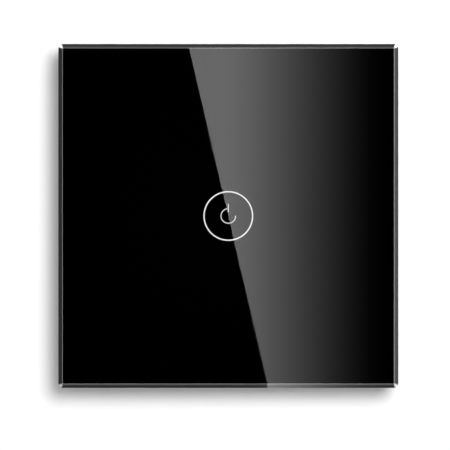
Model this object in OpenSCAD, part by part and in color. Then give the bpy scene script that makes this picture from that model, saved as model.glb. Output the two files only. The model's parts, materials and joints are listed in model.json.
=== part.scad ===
// Touch light switch for a square wall box.
// A bevelled glass panel with a lit ring and on/off mark clips onto a mounting plate. The plate
// carries a rear housing with a control board, a power board with a relay, and three wire terminals.
// Drawn lying on its back: x to the right, y up the wall, z out of the wall, zero at the wall face.
// upright() then stands it on the wall, with its front towards -Y and +Z up.

/* [Glass panel] */
// Width of the glass
panel_w = 86; // [80:0.5:110]
// Height of the glass
panel_h = 87; // [80:0.5:110]
// Thickness of the glass
glass_t = 4; // [3:0.1:6]
// Width of the ground bevel round the front edge
bevel_w = 0.75; // [0.4:0.05:1.5]
// Depth of the ground bevel
bevel_d = 1; // [0.5:0.05:1.8]
// Width of the narrow polished arris between bevel and front face
arris_w = 0.4; // [0.2:0.05:0.8]
// Depth of the arris
arris_d = 0.18; // [0.1:0.02:0.4]
// Cut across each corner of the glass
corner_cut = 0.8; // [0.3:0.1:2]
// Thickness of the print on the back of the glass
print_t = 0.1; // [0.05:0.05:0.3]
// Bare margin between the print and the edge of the glass
print_margin = 0.3; // [0.1:0.1:1]

/* [Ring and mark] */
// Diameter of the lit ring, to the middle of its line
ring_d = 12.3; // [11:0.1:15]
// Width of the ring's line
ring_line = 0.32; // [0.2:0.02:0.8]
// Diameter of the on/off mark's arc, to the middle of its line
mark_d = 3.7; // [3:0.1:5]
// Width of the mark's lines
mark_line = 0.24; // [0.15:0.01:0.5]
// Direction of the arc's first end, counted anticlockwise from the right
mark_start = 98; // [95:1:120]
// Turn of the arc
mark_sweep = 264; // [200:1:300]
// Height of the bar's lower end above the centre
bar_low = 0.94; // [0.5:0.02:1.4]
// Length of the bar
bar_l = 2.18; // [1.6:0.02:2.6]
// Thickness of the diffuser film
film_t = 0.2; // [0.1:0.05:0.4]
// Rim of the film outside the ring's line
film_margin = 1.2; // [0.5:0.1:3]

/* [Panel frame] */
// How far the glass stands out past the frame on each side
frame_overhang = 1; // [0.5:0.1:2]
// Thickness of the frame's rim
frame_t = 1.8; // [1.2:0.1:2.2]
// Width of the rim, seen from behind
frame_rim = 7; // [6.5:0.1:8]
// Thickness of the skirt
skirt_t = 1.6; // [1.2:0.1:1.8]
// Gap between the skirt and the wall
wall_gap = 0.4; // [0.2:0.1:1]
// Rounding of the frame's corners
frame_corner_r = 2; // [1:0.1:3]
// Width of the pry notch in the lower skirt
notch_w = 12; // [6:0.5:20]
// Height of the pry notch above the skirt's edge
notch_h = 1.6; // [0.8:0.1:2]
// Thickness of the adhesive tape
tape_t = 0.4; // [0.2:0.05:0.6]
// Width of the tape
tape_w = 4; // [2:0.1:5]

/* [Panel clips] */
// Width of a clip
clip_w = 8; // [5:0.5:12]
// Thickness of the clip's strip
clip_t = 0.6; // [0.4:0.05:0.8]
// Length of the clip's foot under the rim
clip_foot = 4; // [3.4:0.1:4.4]
// Free space on each side of the clip's leg
clip_play = 0.4; // [0.2:0.05:0.6]
// Distance between the two clips on one side
clip_spread = 44; // [36:0.5:50]
// How far the hook reaches in from the leg
hook_reach = 1; // [0.8:0.05:1.4]
// Gap between the hook and the plate's lip
hook_play = 0.1; // [0.05:0.01:0.2]
// Diameter of the peg that holds the clip's foot
peg_d = 1.6; // [1.2:0.1:2]

/* [Mounting plate] */
// Thickness of the plate
plate_t = 2; // [1.8:0.1:3]
// Thickness of the lip that a hook catches
lip_t = 0.8; // [0.6:0.05:1]
// Distance between the two wall box fixings
fixing_pitch = 60.3; // [59:0.1:62]
// Width of a fixing slot
slot_w = 4; // [3.6:0.1:4.6]
// End to end length of a fixing slot
slot_l = 8; // [6:0.1:9]
// Gap between the housing and the plate's opening
opening_gap = 0.3; // [0.2:0.05:0.5]

/* [Rear housing] */
// Thickness of the housing's walls
wall_t = 1.8; // [1.4:0.1:2.2]
// Thickness of the housing's rear wall
rear_t = 1.8; // [1.4:0.1:3]
// Rounding of the housing's corners
housing_corner_r = 2.5; // [1.5:0.1:3]
// Thickness of the housing's ears
ear_t = 1.4; // [1.2:0.1:2.4]
// Distance between the two screws of an ear
ear_pitch = 36; // [24:0.5:40]
// Room between the boards' edges and the walls
board_gap = 0.3; // [0.2:0.05:0.6]
// Diameter of a post under the power board
post_d = 5; // [4.2:0.1:6]
// Distance of a post's middle from the board's edges
post_inset = 2.85; // [2.6:0.05:3.4]
// Room between the tallest part and the rear wall
rear_gap = 0.3; // [0.2:0.1:2]
// Room round the wires in the wiring window of the lower wall
wiring_margin = 1; // [0.5:0.1:2]
// Diameter of a screwdriver hole in the rear wall
driver_hole_d = 4.4; // [3.6:0.1:5]
// Number of vents in the upper wall
vent_count = 6; // [2:1:8]
// Width of a vent
vent_w = 1.2; // [0.8:0.1:1.6]
// Length of a vent, out of the wall box
vent_l = 10; // [6:0.5:14]
// Distance between neighbouring vents
vent_pitch = 3.6; // [2.4:0.1:3.8]

/* [Inner cover] */
// Thickness of the cover's plate
cover_t = 1.6; // [1.2:0.1:2.4]
// Thickness of the cover's skirt
cover_skirt_t = 1.2; // [0.8:0.1:1.6]
// How far the skirt reaches into the housing
cover_skirt_d = 3; // [2.8:0.1:3.2]
// Gap between the cover's skirt and the housing
cover_gap = 0.15; // [0.1:0.01:0.25]
// Length of a snap rib
snap_l = 8; // [4:0.5:14]
// Height of a snap rib
snap_h = 1; // [0.6:0.1:1.4]
// Gap round a snap rib in its window
snap_gap = 0.1; // [0.05:0.05:0.3]
// Diameter of a boss that the control board is screwed to
boss_d = 5; // [4.2:0.1:6]

/* [Light guide] */
// Wall of the guide's tube
guide_wall = 1; // [0.6:0.05:1.4]
// How far the tube stands out of the cover
guide_rise = 0.9; // [0.3:0.1:2]
// Gap between the tube and the cover's hole
guide_gap = 0.1; // [0.05:0.01:0.3]
// Width of the guide's flange
flange_w = 1.4; // [0.8:0.1:3]
// Thickness of the guide's flange
flange_t = 1; // [0.6:0.1:1.4]
// Gap between the tube and the film
film_gap = 0.3; // [0.2:0.05:0.6]

/* [Touch spring] */
// Thickness of the spring's wire
wire_d = 0.6; // [0.4:0.05:0.7]
// Whole turns of the spring
spring_turns = 4; // [2:1:4]
// Gap between the spring and the light guide
spring_gap = 0.95; // [0.4:0.05:1.6]
// Gap between the spring's end and the film
contact_gap = 0.05; // [0.02:0.01:0.2]

/* [Control board] */
// Thickness of the control board
control_t = 1.2; // [0.8:0.1:1.6]
// Length of a light emitting diode
led_l = 2; // [1.6:0.1:2.4]
// Width of a light emitting diode
led_w = 1.25; // [0.8:0.05:1.6]
// Height of a light emitting diode
led_h = 0.8; // [0.5:0.05:1]
// Gap between a diode and the light guide
led_gap = 0.3; // [0.1:0.05:0.6]
// Length of the touch chip's body
chip_l = 4.9; // [4:0.1:6]
// Width of the touch chip's body
chip_w = 3.9; // [3:0.1:5]
// Height of the touch chip's body
chip_h = 1.5; // [1:0.1:2]
// Height of the touch chip above the centre
chip_y = 9; // [6:0.5:12]
// Reach of a chip's leg
leg_reach = 1; // [0.6:0.1:1.2]
// Width of a chip's leg
leg_w = 0.42; // [0.3:0.02:0.6]
// Pitch of a chip's legs
leg_pitch = 1.27; // [1:0.01:1.4]

/* [Board header] */
// Number of pins
header_count = 8; // [4:1:10]
// Pitch of the pins
header_pitch = 2.54; // [2:0.01:2.54]
// Width of the header
header_w = 2.5; // [2:0.1:3]
// Height of the socket on the control board
socket_h = 5; // [4.5:0.1:8]
// Height of the pins' base on the power board
base_h = 2.5; // [2:0.1:4]
// Side of a square pin
pin_side = 0.64; // [0.5:0.02:0.8]
// How far a pin reaches into the socket
pin_reach = 4; // [2:0.1:4.2]
// Gap round a pin in the socket
pin_gap = 0.1; // [0.05:0.01:0.2]
// Distance of the header from the boards' lower edge
header_inset = 9; // [7:0.1:12]

/* [Power board] */
// Thickness of the power board
power_t = 1.6; // [1:0.1:2]
// Gap between neighbouring parts
part_gap = 1.2; // [0.8:0.1:1.8]
// Margin above the top row of parts
edge_gap = 1.2; // [0.8:0.1:2]
// Margin below the terminal block
terminal_margin = 2; // [1:0.1:4]
// Width of the suppression capacitor
box_cap_w = 5; // [4:0.1:7]
// Length of the suppression capacitor
box_cap_l = 13; // [10:0.1:14]
// Height of the suppression capacitor
box_cap_h = 11; // [8:0.1:14]
// Diameter of the varistor's disc
varistor_d = 9; // [7:0.1:11]
// Thickness of the varistor's disc
varistor_t = 4; // [3:0.1:5]
// Thickness of the varistor's legs
varistor_leg_d = 0.8; // [0.5:0.05:1]
// Height of the varistor's disc above the board
varistor_lift = 1.5; // [0.5:0.1:3]
// Diameter of the fuse
fuse_d = 8.5; // [7:0.1:9]
// Height of the fuse
fuse_h = 7.7; // [6:0.1:9]
// Diameter of the bulk capacitor
bulk_cap_d = 8; // [6.3:0.1:9]
// Height of the bulk capacitor
bulk_cap_h = 13; // [10:0.1:15]
// Diameter of the output capacitor
output_cap_d = 6.3; // [5:0.1:8]
// Height of the output capacitor
output_cap_h = 11; // [8:0.1:14]
// Depth of the groove round a capacitor's can
can_groove = 0.35; // [0.2:0.05:0.6]
// Length of the rectifier's body
rectifier_l = 4.7; // [4:0.1:6]
// Width of the rectifier's body
rectifier_w = 3.9; // [3:0.1:5]
// Height of the rectifier's body
rectifier_h = 2.4; // [1.5:0.1:3]

/* [Transformer] */
// Width of the transformer
trafo_w = 11; // [10:0.1:13]
// Height of the transformer up the board
trafo_l = 12; // [10:0.1:14]
// Depth of the transformer behind the board
trafo_d = 13; // [11:0.1:15]
// Thickness of the ferrite core
core_t = 5; // [4:0.1:6]
// Width of the core's middle leg
core_leg = 3; // [2.6:0.1:3.4]
// Width of the core's outer legs and yokes
core_rim = 1.6; // [1.2:0.1:1.8]
// Height of the bobbin's base
bobbin_base = 2.5; // [1.5:0.1:3]
// Thickness of the bobbin's flanges and tube
bobbin_t = 0.5; // [0.4:0.05:0.7]
// Gap between core, bobbin and winding
coil_gap = 0.1; // [0.05:0.01:0.15]

/* [Relay] */
// Length of the relay's case
relay_l = 19; // [18:0.1:21]
// Width of the relay's case
relay_w = 15.5; // [14:0.1:17]
// Height of the relay's case
relay_h = 15.5; // [15:0.1:17]
// Wall of the relay's case
case_t = 0.9; // [0.6:0.05:1.1]
// Thickness of the relay's base
relay_base_t = 1.6; // [1.2:0.1:2]
// Thickness of the yoke
yoke_t = 1.2; // [0.8:0.05:1.4]
// Width of the yoke and armature
yoke_w = 8; // [6:0.1:10]
// Diameter of the coil's flanges
coil_d = 10; // [8:0.1:10.4]
// Length of the winding
coil_l = 6.4; // [5:0.1:6.8]
// Thickness of the coil's flanges
coil_flange_t = 0.8; // [0.5:0.05:1]
// Diameter of the relay's core
pole_d = 3.4; // [2.8:0.1:4]
// Diameter of the core's head
pole_head_d = 6; // [5:0.1:7]
// Thickness of the core's head
pole_head_t = 0.8; // [0.5:0.05:1]
// Thickness of the armature
armature_t = 1; // [0.6:0.05:1.2]
// Opening angle of the armature at rest
armature_open = 3; // [2:0.1:3.4]
// Gap between the closed armature and the pole
armature_gap = 0.1; // [0.05:0.01:0.2]
// Thickness of the contact spring
leaf_t = 0.2; // [0.1:0.02:0.3]
// Width of the contact spring
leaf_w = 4; // [3:0.1:6]
// Diameter of a contact button
button_d = 2.4; // [2:0.1:3]
// Height of a contact button
button_h = 0.5; // [0.3:0.05:0.7]
// Thickness of the fixed contact's strip
contact_t = 0.5; // [0.4:0.05:0.7]

/* [Terminals] */
// Distance between neighbouring wires
pole_pitch = 8; // [7.8:0.1:9]
// Solid end on each side of the block
block_side = 1; // [0.6:0.1:3]
// Thickness of the block's walls
block_wall = 1; // [0.8:0.1:1.6]
// Thickness of the plate with the wire entries
entry_t = 1; // [0.8:0.1:1.6]
// Diameter of a wire entry
wire_hole_d = 3.6; // [2.6:0.1:4]
// Diameter of the pegs that hold the entry plate
entry_peg_d = 1.2; // [0.8:0.1:1.4]
// Length of the entry plate's pegs
entry_peg_l = 2.5; // [1.5:0.1:4]
// Outer width of a clamping cage
cage_w = 6; // [5:0.1:6.2]
// Depth of a cage along the wire
cage_d = 6; // [5:0.1:7]
// Thickness of a cage's front and sides
cage_t = 1; // [0.8:0.05:1.2]
// Thickness of a cage's threaded wall
cage_thread_t = 1.8; // [1.4:0.1:2.4]
// Travel of a cage
cage_travel = 3; // [2.4:0.1:3.4]
// Gap between a cage and the block
cage_play = 0.2; // [0.15:0.05:0.3]
// Least gap between a cage and what it moves towards
cage_stop = 0.2; // [0.15:0.05:0.4]
// Thickness of a contact bar
bar_t = 1; // [0.8:0.05:1.4]
// Width of a contact bar
bar_w = 3.6; // [3:0.1:3.8]
// Diameter of a terminal screw
screw_d = 3; // [2.5:0.1:3.2]
// Diameter of a terminal screw's head
screw_head_d = 5.4; // [5.2:0.1:5.8]
// Height of a terminal screw's head
screw_head_h = 1.8; // [1.4:0.1:2.2]
// Depth of the pocket behind a terminal screw's head
screw_sink = 1.3; // [0.5:0.1:2]
// Thickness of the web that holds a terminal screw
web_t = 0.8; // [0.6:0.05:1.2]
// Running clearance round a terminal screw
screw_gap = 0.06; // [0.03:0.01:0.1]
// Gap under a terminal screw's head
head_gap = 0.1; // [0.05:0.01:0.2]
// Gap round a terminal screw's head
pocket_gap = 0.2; // [0.1:0.05:0.4]

/* [Fasteners] */
// Diameter of a housing screw
ear_screw_d = 2.9; // [2.4:0.1:3.2]
// Diameter of a housing screw's head
ear_head_d = 5.2; // [4.4:0.1:6]
// Height of a housing screw's head
ear_head_h = 1.5; // [1:0.1:1.8]
// Diameter of a board screw
board_screw_d = 1.9; // [1.6:0.1:2.2]
// Diameter of a board screw's head
board_head_d = 4; // [3.4:0.1:4.6]
// Height of a board screw's head
board_head_h = 1.4; // [1:0.1:1.6]
// How far a power board screw reaches into its post
post_screw_l = 6; // [4:0.1:10]
// Room beyond the tip of a screw
screw_end_gap = 0.4; // [0.2:0.1:0.8]
// Clearance between a screw and its hole
thread_gap = 0.05; // [0.03:0.01:0.1]
// Width of a screw's drive slot
drive_w = 0.8; // [0.5:0.05:1]
// Depth of a screw's drive slot
drive_d = 0.7; // [0.4:0.05:0.9]

/* [Hidden] */

// Overlap of a cut past the face that it opens
eps = 0.5;
// Fineness of round surfaces
$fn = 64;
// Facets of a rounded corner
corner_steps = 5;
// Wires that the switch takes
poles = 3;

// Levels from the wall outwards
ear_front = plate_t + ear_t;
cover_front = ear_front + cover_t;
guide_front = cover_front + guide_rise;
film_back = guide_front + film_gap;
print_back = film_back + film_t;
glass_back = print_back + print_t;
glass_front = glass_back + glass_t;
tape_back = print_back - tape_t;
frame_back = tape_back - frame_t;

// Levels from the cover inwards, with a gap between its skirt and the control board
skirt_end_gap = 0.5;
control_front = ear_front - cover_skirt_d - skirt_end_gap;
control_back = control_front - control_t;
power_front = control_back - socket_h - base_h;
power_back = power_front - power_t;

// Panel frame and mounting plate, seen from the front
frame_w = panel_w - 2 * frame_overhang;
frame_h = panel_h - 2 * frame_overhang;
frame_open_w = frame_w - 2 * frame_rim;
frame_open_h = frame_h - 2 * frame_rim;
skirt_in_w = frame_w - 2 * skirt_t;
skirt_in_h = frame_h - 2 * skirt_t;
clip_space = clip_t + 2 * clip_play;
plate_w = skirt_in_w - 2 * clip_space;
plate_h = skirt_in_h - 2 * clip_space;
hook_front = plate_t - lip_t - hook_play;
clip_x = -skirt_in_w / 2 + clip_play;
peg_x = clip_x + clip_t + (clip_foot - clip_t) / 2;
peg_head = 0.4;
peg_root = 0.5;
tape_inset = 1;

// Power board: a top row with relay and transformer, a middle row, and the terminal block below
post_zone = post_inset + post_d / 2 + part_gap;
top_row_w = relay_l + part_gap + trafo_w;
mid_sizes = [box_cap_w, varistor_t, fuse_d, bulk_cap_d, output_cap_d];
mid_count = len(mid_sizes);
mid_parts_w = sum_to(mid_sizes, mid_count);
block_w = poles * pole_pitch + 2 * block_side;
board_w = max(top_row_w + 2 * post_zone, block_w + 2 * post_zone,
              mid_parts_w + (mid_count + 1) * part_gap);
mid_gap = (board_w - mid_parts_w) / (mid_count + 1);
top_row_l = max(relay_w, trafo_l);
mid_row_l = max(box_cap_l, varistor_d, fuse_d, bulk_cap_d, output_cap_d);
cavity_d = cage_d + 2 * cage_play;
bar_slot = bar_t + 2 * thread_gap;
block_d = entry_t + cavity_d + bar_slot + 2 * block_wall;
board_h = edge_gap + top_row_l + part_gap + mid_row_l + part_gap + block_d + terminal_margin;
top_row_x = -top_row_w / 2;
top_row_y = board_h / 2 - edge_gap - top_row_l;
mid_y = top_row_y - part_gap - mid_row_l / 2;
block_y = -board_h / 2 + terminal_margin;
post_x = board_w / 2 - post_inset;
post_y = board_h / 2 - post_inset;

// Housing, seen from the front
housing_in_w = board_w + 2 * board_gap;
housing_in_h = board_h + 2 * board_gap;
housing_w = housing_in_w + 2 * wall_t;
housing_h = housing_in_h + 2 * wall_t;
ear_margin = 0.5;
ear_y = housing_h / 2 + ear_margin + ear_head_d / 2;
ear_end_y = ear_y + ear_head_d / 2 + ear_margin;
cover_out_w = housing_in_w - 2 * cover_gap;
cover_out_h = housing_in_h - 2 * cover_gap;
snap_z = ear_front - cover_skirt_d / 2;

// Terminals, counted forwards from the block's rear face
pole_y = block_y + entry_t + cavity_d / 2;
pocket_d = screw_sink + screw_head_h + head_gap;
cage_window = bar_t + cage_travel + 2 * cage_stop;
cage_l = cage_thread_t + cage_window + cage_t;
block_front_t = 1.2;
block_need = pocket_d + web_t + cage_stop + cage_travel + cage_l + cage_stop + block_front_t;
part_space = max(relay_h, block_need, trafo_d, box_cap_h, bulk_cap_h, output_cap_h,
                 varistor_d + varistor_lift) + rear_gap;
rear_in = power_back - part_space;
block_rear = rear_in + rear_gap;
web_rear = block_rear + pocket_d;
web_front = web_rear + web_t;
cage_rear = web_front + cage_stop + cage_travel;
bar_rear = cage_rear + cage_thread_t + cage_stop;
bar_front = bar_rear + bar_t;
cage_front = cage_rear + cage_l;
cavity_front = cage_front + cage_stop;
wire_z = (bar_front + cage_front - cage_t) / 2;
screw_tip = bar_rear - 2 * cage_stop;

// Relay, counted rearwards from the power board
case_room = 0.6;
coil_room = 0.3;
yoke_x = case_t + case_room;
coil_x = yoke_x + yoke_t + coil_room + coil_d / 2;
coil_base = relay_base_t + yoke_t;
coil_end = coil_base + 2 * coil_flange_t + coil_l;
pole_end = coil_end + pole_head_t;
spool_d = pole_d + 2 * coil_flange_t;
armature_end = coil_x + pole_head_d / 2;
contact_x = relay_l - case_t - case_room - contact_t - button_d / 2;
leaf_z = pole_end + armature_gap + armature_t;

// Light guide and spring
guide_out_d = ring_d + guide_wall;
guide_in_d = ring_d - guide_wall;
guide_back = control_front + led_h + led_gap;
spring_r = guide_in_d / 2 - spring_gap - wire_d / 2;
spring_top = film_back - contact_gap;

// Transformer, counted rearwards from the power board
trafo_x = top_row_x + relay_l + part_gap;
trafo_y = top_row_y + top_row_l - trafo_l;
core_front = bobbin_base;
window_front = core_front + core_rim;
window_rear = trafo_d - core_rim;
window_w = (trafo_w - core_leg - 2 * core_rim) / 2;

function sum_to(list, n) = n == 0 ? 0 : list[n - 1] + sum_to(list, n - 1);

// Middle of the k-th part of the middle row
function mid_x(k) = -board_w / 2 + (k + 1) * mid_gap + sum_to(mid_sizes, k) + mid_sizes[k] / 2;

// Middle of the k-th wire terminal
function pole_x(k) = (k - (poles - 1) / 2) * pole_pitch;

function rounded_outline(w, h, r) = [
    for (q = [0:3])
        for (k = [0:corner_steps])
            let (
                a = 90 * (q + k / corner_steps),
                sx = q == 0 || q == 3 ? 1 : -1,
                sy = q < 2 ? 1 : -1
            )
            [sx * (w / 2 - r) + r * cos(a), sy * (h / 2 - r) + r * sin(a)]
];

module upright() {
    rotate([90, 0, 0]) children();
}

module slab(w, h, z0, z1, x = 0, y = 0) {
    translate([x - w / 2, y - h / 2, z0]) cube([w, h, z1 - z0]);
}

module rounded_slab(w, h, r, z0, z1) {
    translate([0, 0, z0])
        linear_extrude(height = z1 - z0)
            polygon(rounded_outline(w, h, r));
}

module rod(d, z0, z1, x = 0, y = 0) {
    translate([x, y, z0]) cylinder(d = d, h = z1 - z0);
}

module at_posts() {
    for (sx = [-1, 1])
        for (sy = [-1, 1])
            translate([sx * post_x, sy * post_y, 0]) children();
}

module at_ear_screws() {
    for (sx = [-1, 1])
        for (sy = [-1, 1])
            translate([sx * ear_pitch / 2, sy * ear_y, 0]) children();
}

// Children drawn at the left edge, pointing outwards, are set at the four clips
module at_clips() {
    for (side = [0, 1])
        for (sy = [-1, 1])
            mirror([side, 0, 0])
                translate([0, sy * clip_spread / 2, 0]) children();
}

// Children that stand on z = 0 are set on the rear face of the power board
module behind_board(x = 0, y = 0) {
    translate([x, y, power_back]) mirror([0, 0, 1]) children();
}

// A screw whose head stands on z = 0 and whose shank points down
module screw(d, l, head_d, head_h) {
    difference() {
        union() {
            rod(d, -l, 0);
            rod(head_d, 0, head_h);
        }
        slab(head_d + eps, drive_w, head_h - drive_d, head_h + eps);
    }
}

// A chip standing on z = 0 with four legs on each long side
module chip(l, w, h) {
    stand = h / 4;
    union() {
        slab(l, w, stand / 2, h);
        for (k = [-1.5:1:1.5])
            slab(leg_w, w + 2 * leg_reach, 0, stand, x = k * leg_pitch);
    }
}

// An electrolytic capacitor standing on z = 0
module can(d, h) {
    groove_z = h / 6;
    rotate_extrude()
        polygon([
            [0, 0], [d / 2, 0], [d / 2, groove_z - can_groove], [d / 2 - can_groove, groove_z],
            [d / 2, groove_z + can_groove], [d / 2, h - can_groove], [d / 2 - can_groove, h], [0, h]
        ]);
}

function glass_profile(w) = let (
    flat = w / 2 - bevel_w - arris_w,
    arris_back = glass_front - arris_d,
    right = [
        [w / 2, glass_back], [w / 2, arris_back - bevel_d], [w / 2 - bevel_w, arris_back], [flat, glass_front]
    ]
) concat(right, [for (k = [3:-1:0]) [-right[k][0], right[k][1]]]);

// An endless strip of glass with the edge profile on both sides, turned in the plane of the panel
module glass_strip(w, turn) {
    rotate([0, 0, turn])
        rotate([90, 0, 0])
            linear_extrude(height = panel_w + panel_h, center = true)
                polygon(glass_profile(w));
}

module glass_panel() {
    corner_w = (panel_w + panel_h - 2 * corner_cut) / sqrt(2);
    color("black")
        intersection() {
            glass_strip(panel_w, 0);
            glass_strip(panel_h, 90);
            glass_strip(corner_w, 45);
            glass_strip(corner_w, 135);
        }
}

// Ring and on/off mark as a band of the given thickness
module marks(z0, z1) {
    difference() {
        rod(ring_d + ring_line, z0, z1);
        rod(ring_d - ring_line, z0 - eps, z1 + eps);
    }
    rotate([0, 0, mark_start])
        rotate_extrude(angle = mark_sweep)
            translate([(mark_d - mark_line) / 2, z0]) square([mark_line, z1 - z0]);
    slab(mark_line, bar_l, z0, z1, y = bar_low + bar_l / 2);
}

module back_print() {
    color([0.01, 0.01, 0.01])
        difference() {
            slab(panel_w - 2 * print_margin, panel_h - 2 * print_margin, print_back, glass_back);
            marks(print_back - eps, glass_back + eps);
            print_corners();
        }
}

module print_corners() {
    side = corner_cut * sqrt(2) + 2 * print_margin;
    for (sx = [-1, 1])
        for (sy = [-1, 1])
            translate([sx * panel_w / 2, sy * panel_h / 2, 0])
                rotate([0, 0, 45]) slab(side, side, print_back - eps, glass_back + eps);
}

module lit_marks() {
    color("white") marks(print_back, glass_back);
}

module diffuser_film() {
    color([0.95, 0.95, 0.95]) rod(ring_d + ring_line + 2 * film_margin, film_back, print_back);
}

module adhesive_tape() {
    color([0.2, 0.2, 0.2])
        difference() {
            slab(frame_w - 2 * tape_inset, frame_h - 2 * tape_inset, tape_back, print_back);
            slab(frame_w - 2 * (tape_inset + tape_w), frame_h - 2 * (tape_inset + tape_w),
                 tape_back - eps, print_back + eps);
        }
}

module panel_frame() {
    color([0.08, 0.08, 0.08])
        union() {
            difference() {
                rounded_slab(frame_w, frame_h, frame_corner_r, wall_gap, tape_back);
                slab(frame_open_w, frame_open_h, frame_back - eps, tape_back + eps);
                slab(skirt_in_w, skirt_in_h, wall_gap - eps, frame_back);
                slab(notch_w, 3 * skirt_t, wall_gap - eps, wall_gap + notch_h, y = -frame_h / 2);
            }
            at_clips() rod(peg_d, frame_back - clip_t - peg_head, frame_back + peg_root, x = peg_x);
        }
}

module panel_clips() {
    hook_l = hook_reach + clip_t;
    color("silver")
        at_clips()
            difference() {
                union() {
                    slab(clip_foot, clip_w, frame_back - clip_t, frame_back, x = clip_x + clip_foot / 2);
                    slab(clip_t, clip_w, wall_gap, frame_back, x = clip_x + clip_t / 2);
                    slab(hook_l, clip_w, wall_gap, hook_front, x = clip_x + hook_l / 2);
                }
                rod(peg_d + 2 * thread_gap, frame_back - clip_t - eps, frame_back + eps, x = peg_x);
            }
}

module mounting_plate() {
    rebate_d = hook_reach + clip_play;
    color([0.85, 0.85, 0.83])
        difference() {
            rounded_slab(plate_w, plate_h, frame_corner_r, 0, plate_t);
            rounded_slab(housing_w + 2 * opening_gap, housing_h + 2 * opening_gap,
                         housing_corner_r, -eps, plate_t + eps);
            for (sx = [-1, 1])
                translate([sx * fixing_pitch / 2, 0, 0]) fixing_slot();
            at_ear_screws() rod(ear_screw_d + 2 * thread_gap, -eps, plate_t + eps);
            at_clips()
                slab(2 * rebate_d, clip_w + 2 * clip_play, -eps, plate_t - lip_t, x = -plate_w / 2);
        }
}

module fixing_slot() {
    end = slot_l / 2 - slot_w / 2;
    union() {
        slab(2 * end, slot_w, -eps, plate_t + eps);
        rod(slot_w, -eps, plate_t + eps, x = -end);
        rod(slot_w, -eps, plate_t + eps, x = end);
    }
}

module rear_housing() {
    ear_w = ear_pitch + ear_head_d + 2 * ear_margin;
    snap_window = snap_h + 2 * snap_gap;
    wiring_h = wire_hole_d + 2 * wiring_margin;
    wiring_w = (poles - 1) * pole_pitch + wiring_h;
    vent_z = (power_back + rear_in) / 2;
    color([0.93, 0.93, 0.9])
        difference() {
            union() {
                difference() {
                    union() {
                        rounded_slab(housing_w, housing_h, housing_corner_r, rear_in - rear_t, ear_front);
                        rounded_slab(ear_w, 2 * ear_end_y, housing_corner_r, plate_t, ear_front);
                    }
                    slab(housing_in_w, housing_in_h, rear_in, ear_front + eps);
                }
                at_posts() rod(post_d, rear_in - rear_t / 2, power_back);
            }
            at_posts() rod(board_screw_d + 2 * thread_gap, power_back - post_screw_l - eps, power_back + eps);
            at_ear_screws() rod(ear_screw_d + 2 * thread_gap, plate_t - eps, ear_front + eps);
            for (k = [0:poles - 1])
                rod(driver_hole_d, rear_in - rear_t - eps, rear_in + eps, x = pole_x(k), y = pole_y);
            slab(wiring_w, 2 * (wall_t + eps), wire_z - wiring_h / 2, wire_z + wiring_h / 2,
                 y = -housing_h / 2);
            for (k = [0:vent_count - 1])
                slab(vent_w, 2 * (wall_t + eps), vent_z - vent_l / 2, vent_z + vent_l / 2,
                     x = (k - (vent_count - 1) / 2) * vent_pitch, y = housing_h / 2);
            slab(housing_w + eps, snap_l + 2 * snap_gap, snap_z - snap_window / 2, snap_z + snap_window / 2);
        }
}

module housing_screws() {
    color("silver")
        at_ear_screws()
            translate([0, 0, ear_front])
                screw(ear_screw_d, ear_front - screw_end_gap, ear_head_d, ear_head_h);
}

module inner_cover() {
    skirt_back = ear_front - cover_skirt_d;
    skirt_in_x = cover_out_w - 2 * cover_skirt_t;
    skirt_in_y = cover_out_h - 2 * cover_skirt_t;
    color([0.9, 0.9, 0.88])
        difference() {
            union() {
                rounded_slab(housing_w, housing_h, housing_corner_r, ear_front, cover_front);
                difference() {
                    slab(cover_out_w, cover_out_h, skirt_back, ear_front + cover_t / 2);
                    slab(skirt_in_x, skirt_in_y, skirt_back - eps, ear_front);
                }
                at_posts() rod(boss_d, control_front, ear_front + cover_t / 2);
                slab(cover_out_w + wall_t, snap_l, snap_z - snap_h / 2, snap_z + snap_h / 2);
            }
            slab(skirt_in_x, snap_l + eps, snap_z - snap_h, snap_z + snap_h);
            rod(guide_out_d + 2 * guide_gap, ear_front - eps, cover_front + eps);
            at_posts() rod(board_screw_d + 2 * thread_gap, control_front - eps, ear_front);
        }
}

module light_guide() {
    color([0.95, 0.97, 1])
        difference() {
            union() {
                rod(guide_out_d, guide_back, guide_front);
                rod(guide_out_d + 2 * flange_w, ear_front - flange_t, ear_front);
            }
            rod(guide_in_d, guide_back - eps, guide_front + eps);
        }
}

// Touch spring: one wire, straight at both ends, wound in between
rings_per_turn = 8;
wire_sides = 6;
coil_low = control_front + wire_d;
coil_high = spring_top - wire_d;
coil_rings = spring_turns * rings_per_turn;
ring_count = coil_rings + 3;

function spring_angle(k) = 360 / rings_per_turn * min(max(k - 1, 0), coil_rings);
function spring_z(k) = k == 0 ? control_front
    : k == ring_count - 1 ? spring_top
    : coil_low + (coil_high - coil_low) * (k - 1) / coil_rings;
function spring_point(k) = [
    spring_r * cos(spring_angle(k)), spring_r * sin(spring_angle(k)), spring_z(k)
];
function unit(v) = v / norm(v);
function spring_heading(k) = let (
    before = k == 0 ? [0, 0, 1] : unit(spring_point(k) - spring_point(k - 1)),
    after = k == ring_count - 1 ? [0, 0, 1] : unit(spring_point(k + 1) - spring_point(k))
) unit(before + after);
function spring_ring(k) = let (
    out = [cos(spring_angle(k)), sin(spring_angle(k)), 0],
    up = unit(cross(spring_heading(k), out))
) [
    for (s = [0:wire_sides - 1])
        spring_point(k) + wire_d / 2 * (cos(360 * s / wire_sides) * out + sin(360 * s / wire_sides) * up)
];

spring_least_gap = min([
    for (i = [0:ring_count - 1])
        for (j = [i + rings_per_turn / 2:ring_count - 1])
            norm(spring_point(i) - spring_point(j)) - wire_d
]);
echo(spring_least_gap = spring_least_gap);

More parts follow.
